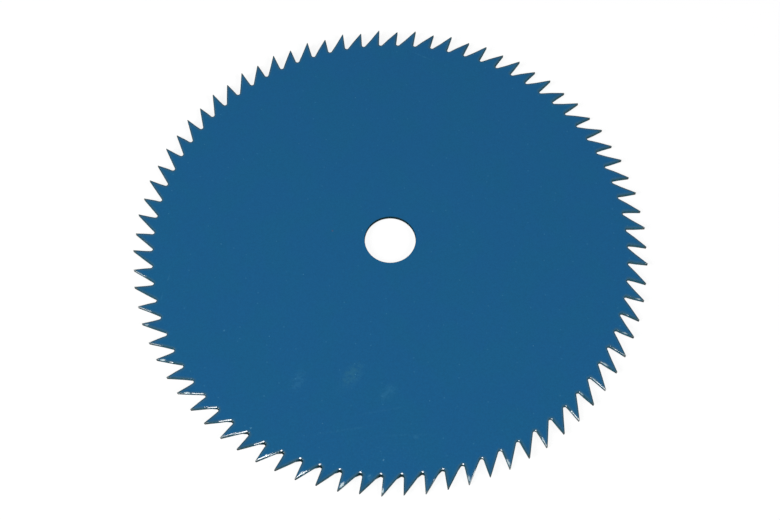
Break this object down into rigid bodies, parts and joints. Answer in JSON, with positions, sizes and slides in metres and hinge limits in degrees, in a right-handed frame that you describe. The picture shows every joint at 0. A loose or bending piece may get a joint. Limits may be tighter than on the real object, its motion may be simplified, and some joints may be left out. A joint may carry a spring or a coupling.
{
  "type": "brush cutter blade",
  "caption": "Flat round saw-toothed brush cutter blade of painted steel, with set teeth all round and a plain central bore.",
  "frame": {"origin": "centre of the bore, halfway through the plate's thickness", "axes": "+Z along the bore and square to the plate, towards the face that the picture shows; +X through the tip of a tooth"},
  "size_m": [0.255, 0.255, 0.0036],
  "materials": {
    "blue_paint": "glossy blue paint on steel, worn to grey at the tooth tips, with dark edges and fine handling scratches"
  },
  "bodies": {
    "root": {"blade": "blue_paint"}
  },
  "joints": []
}
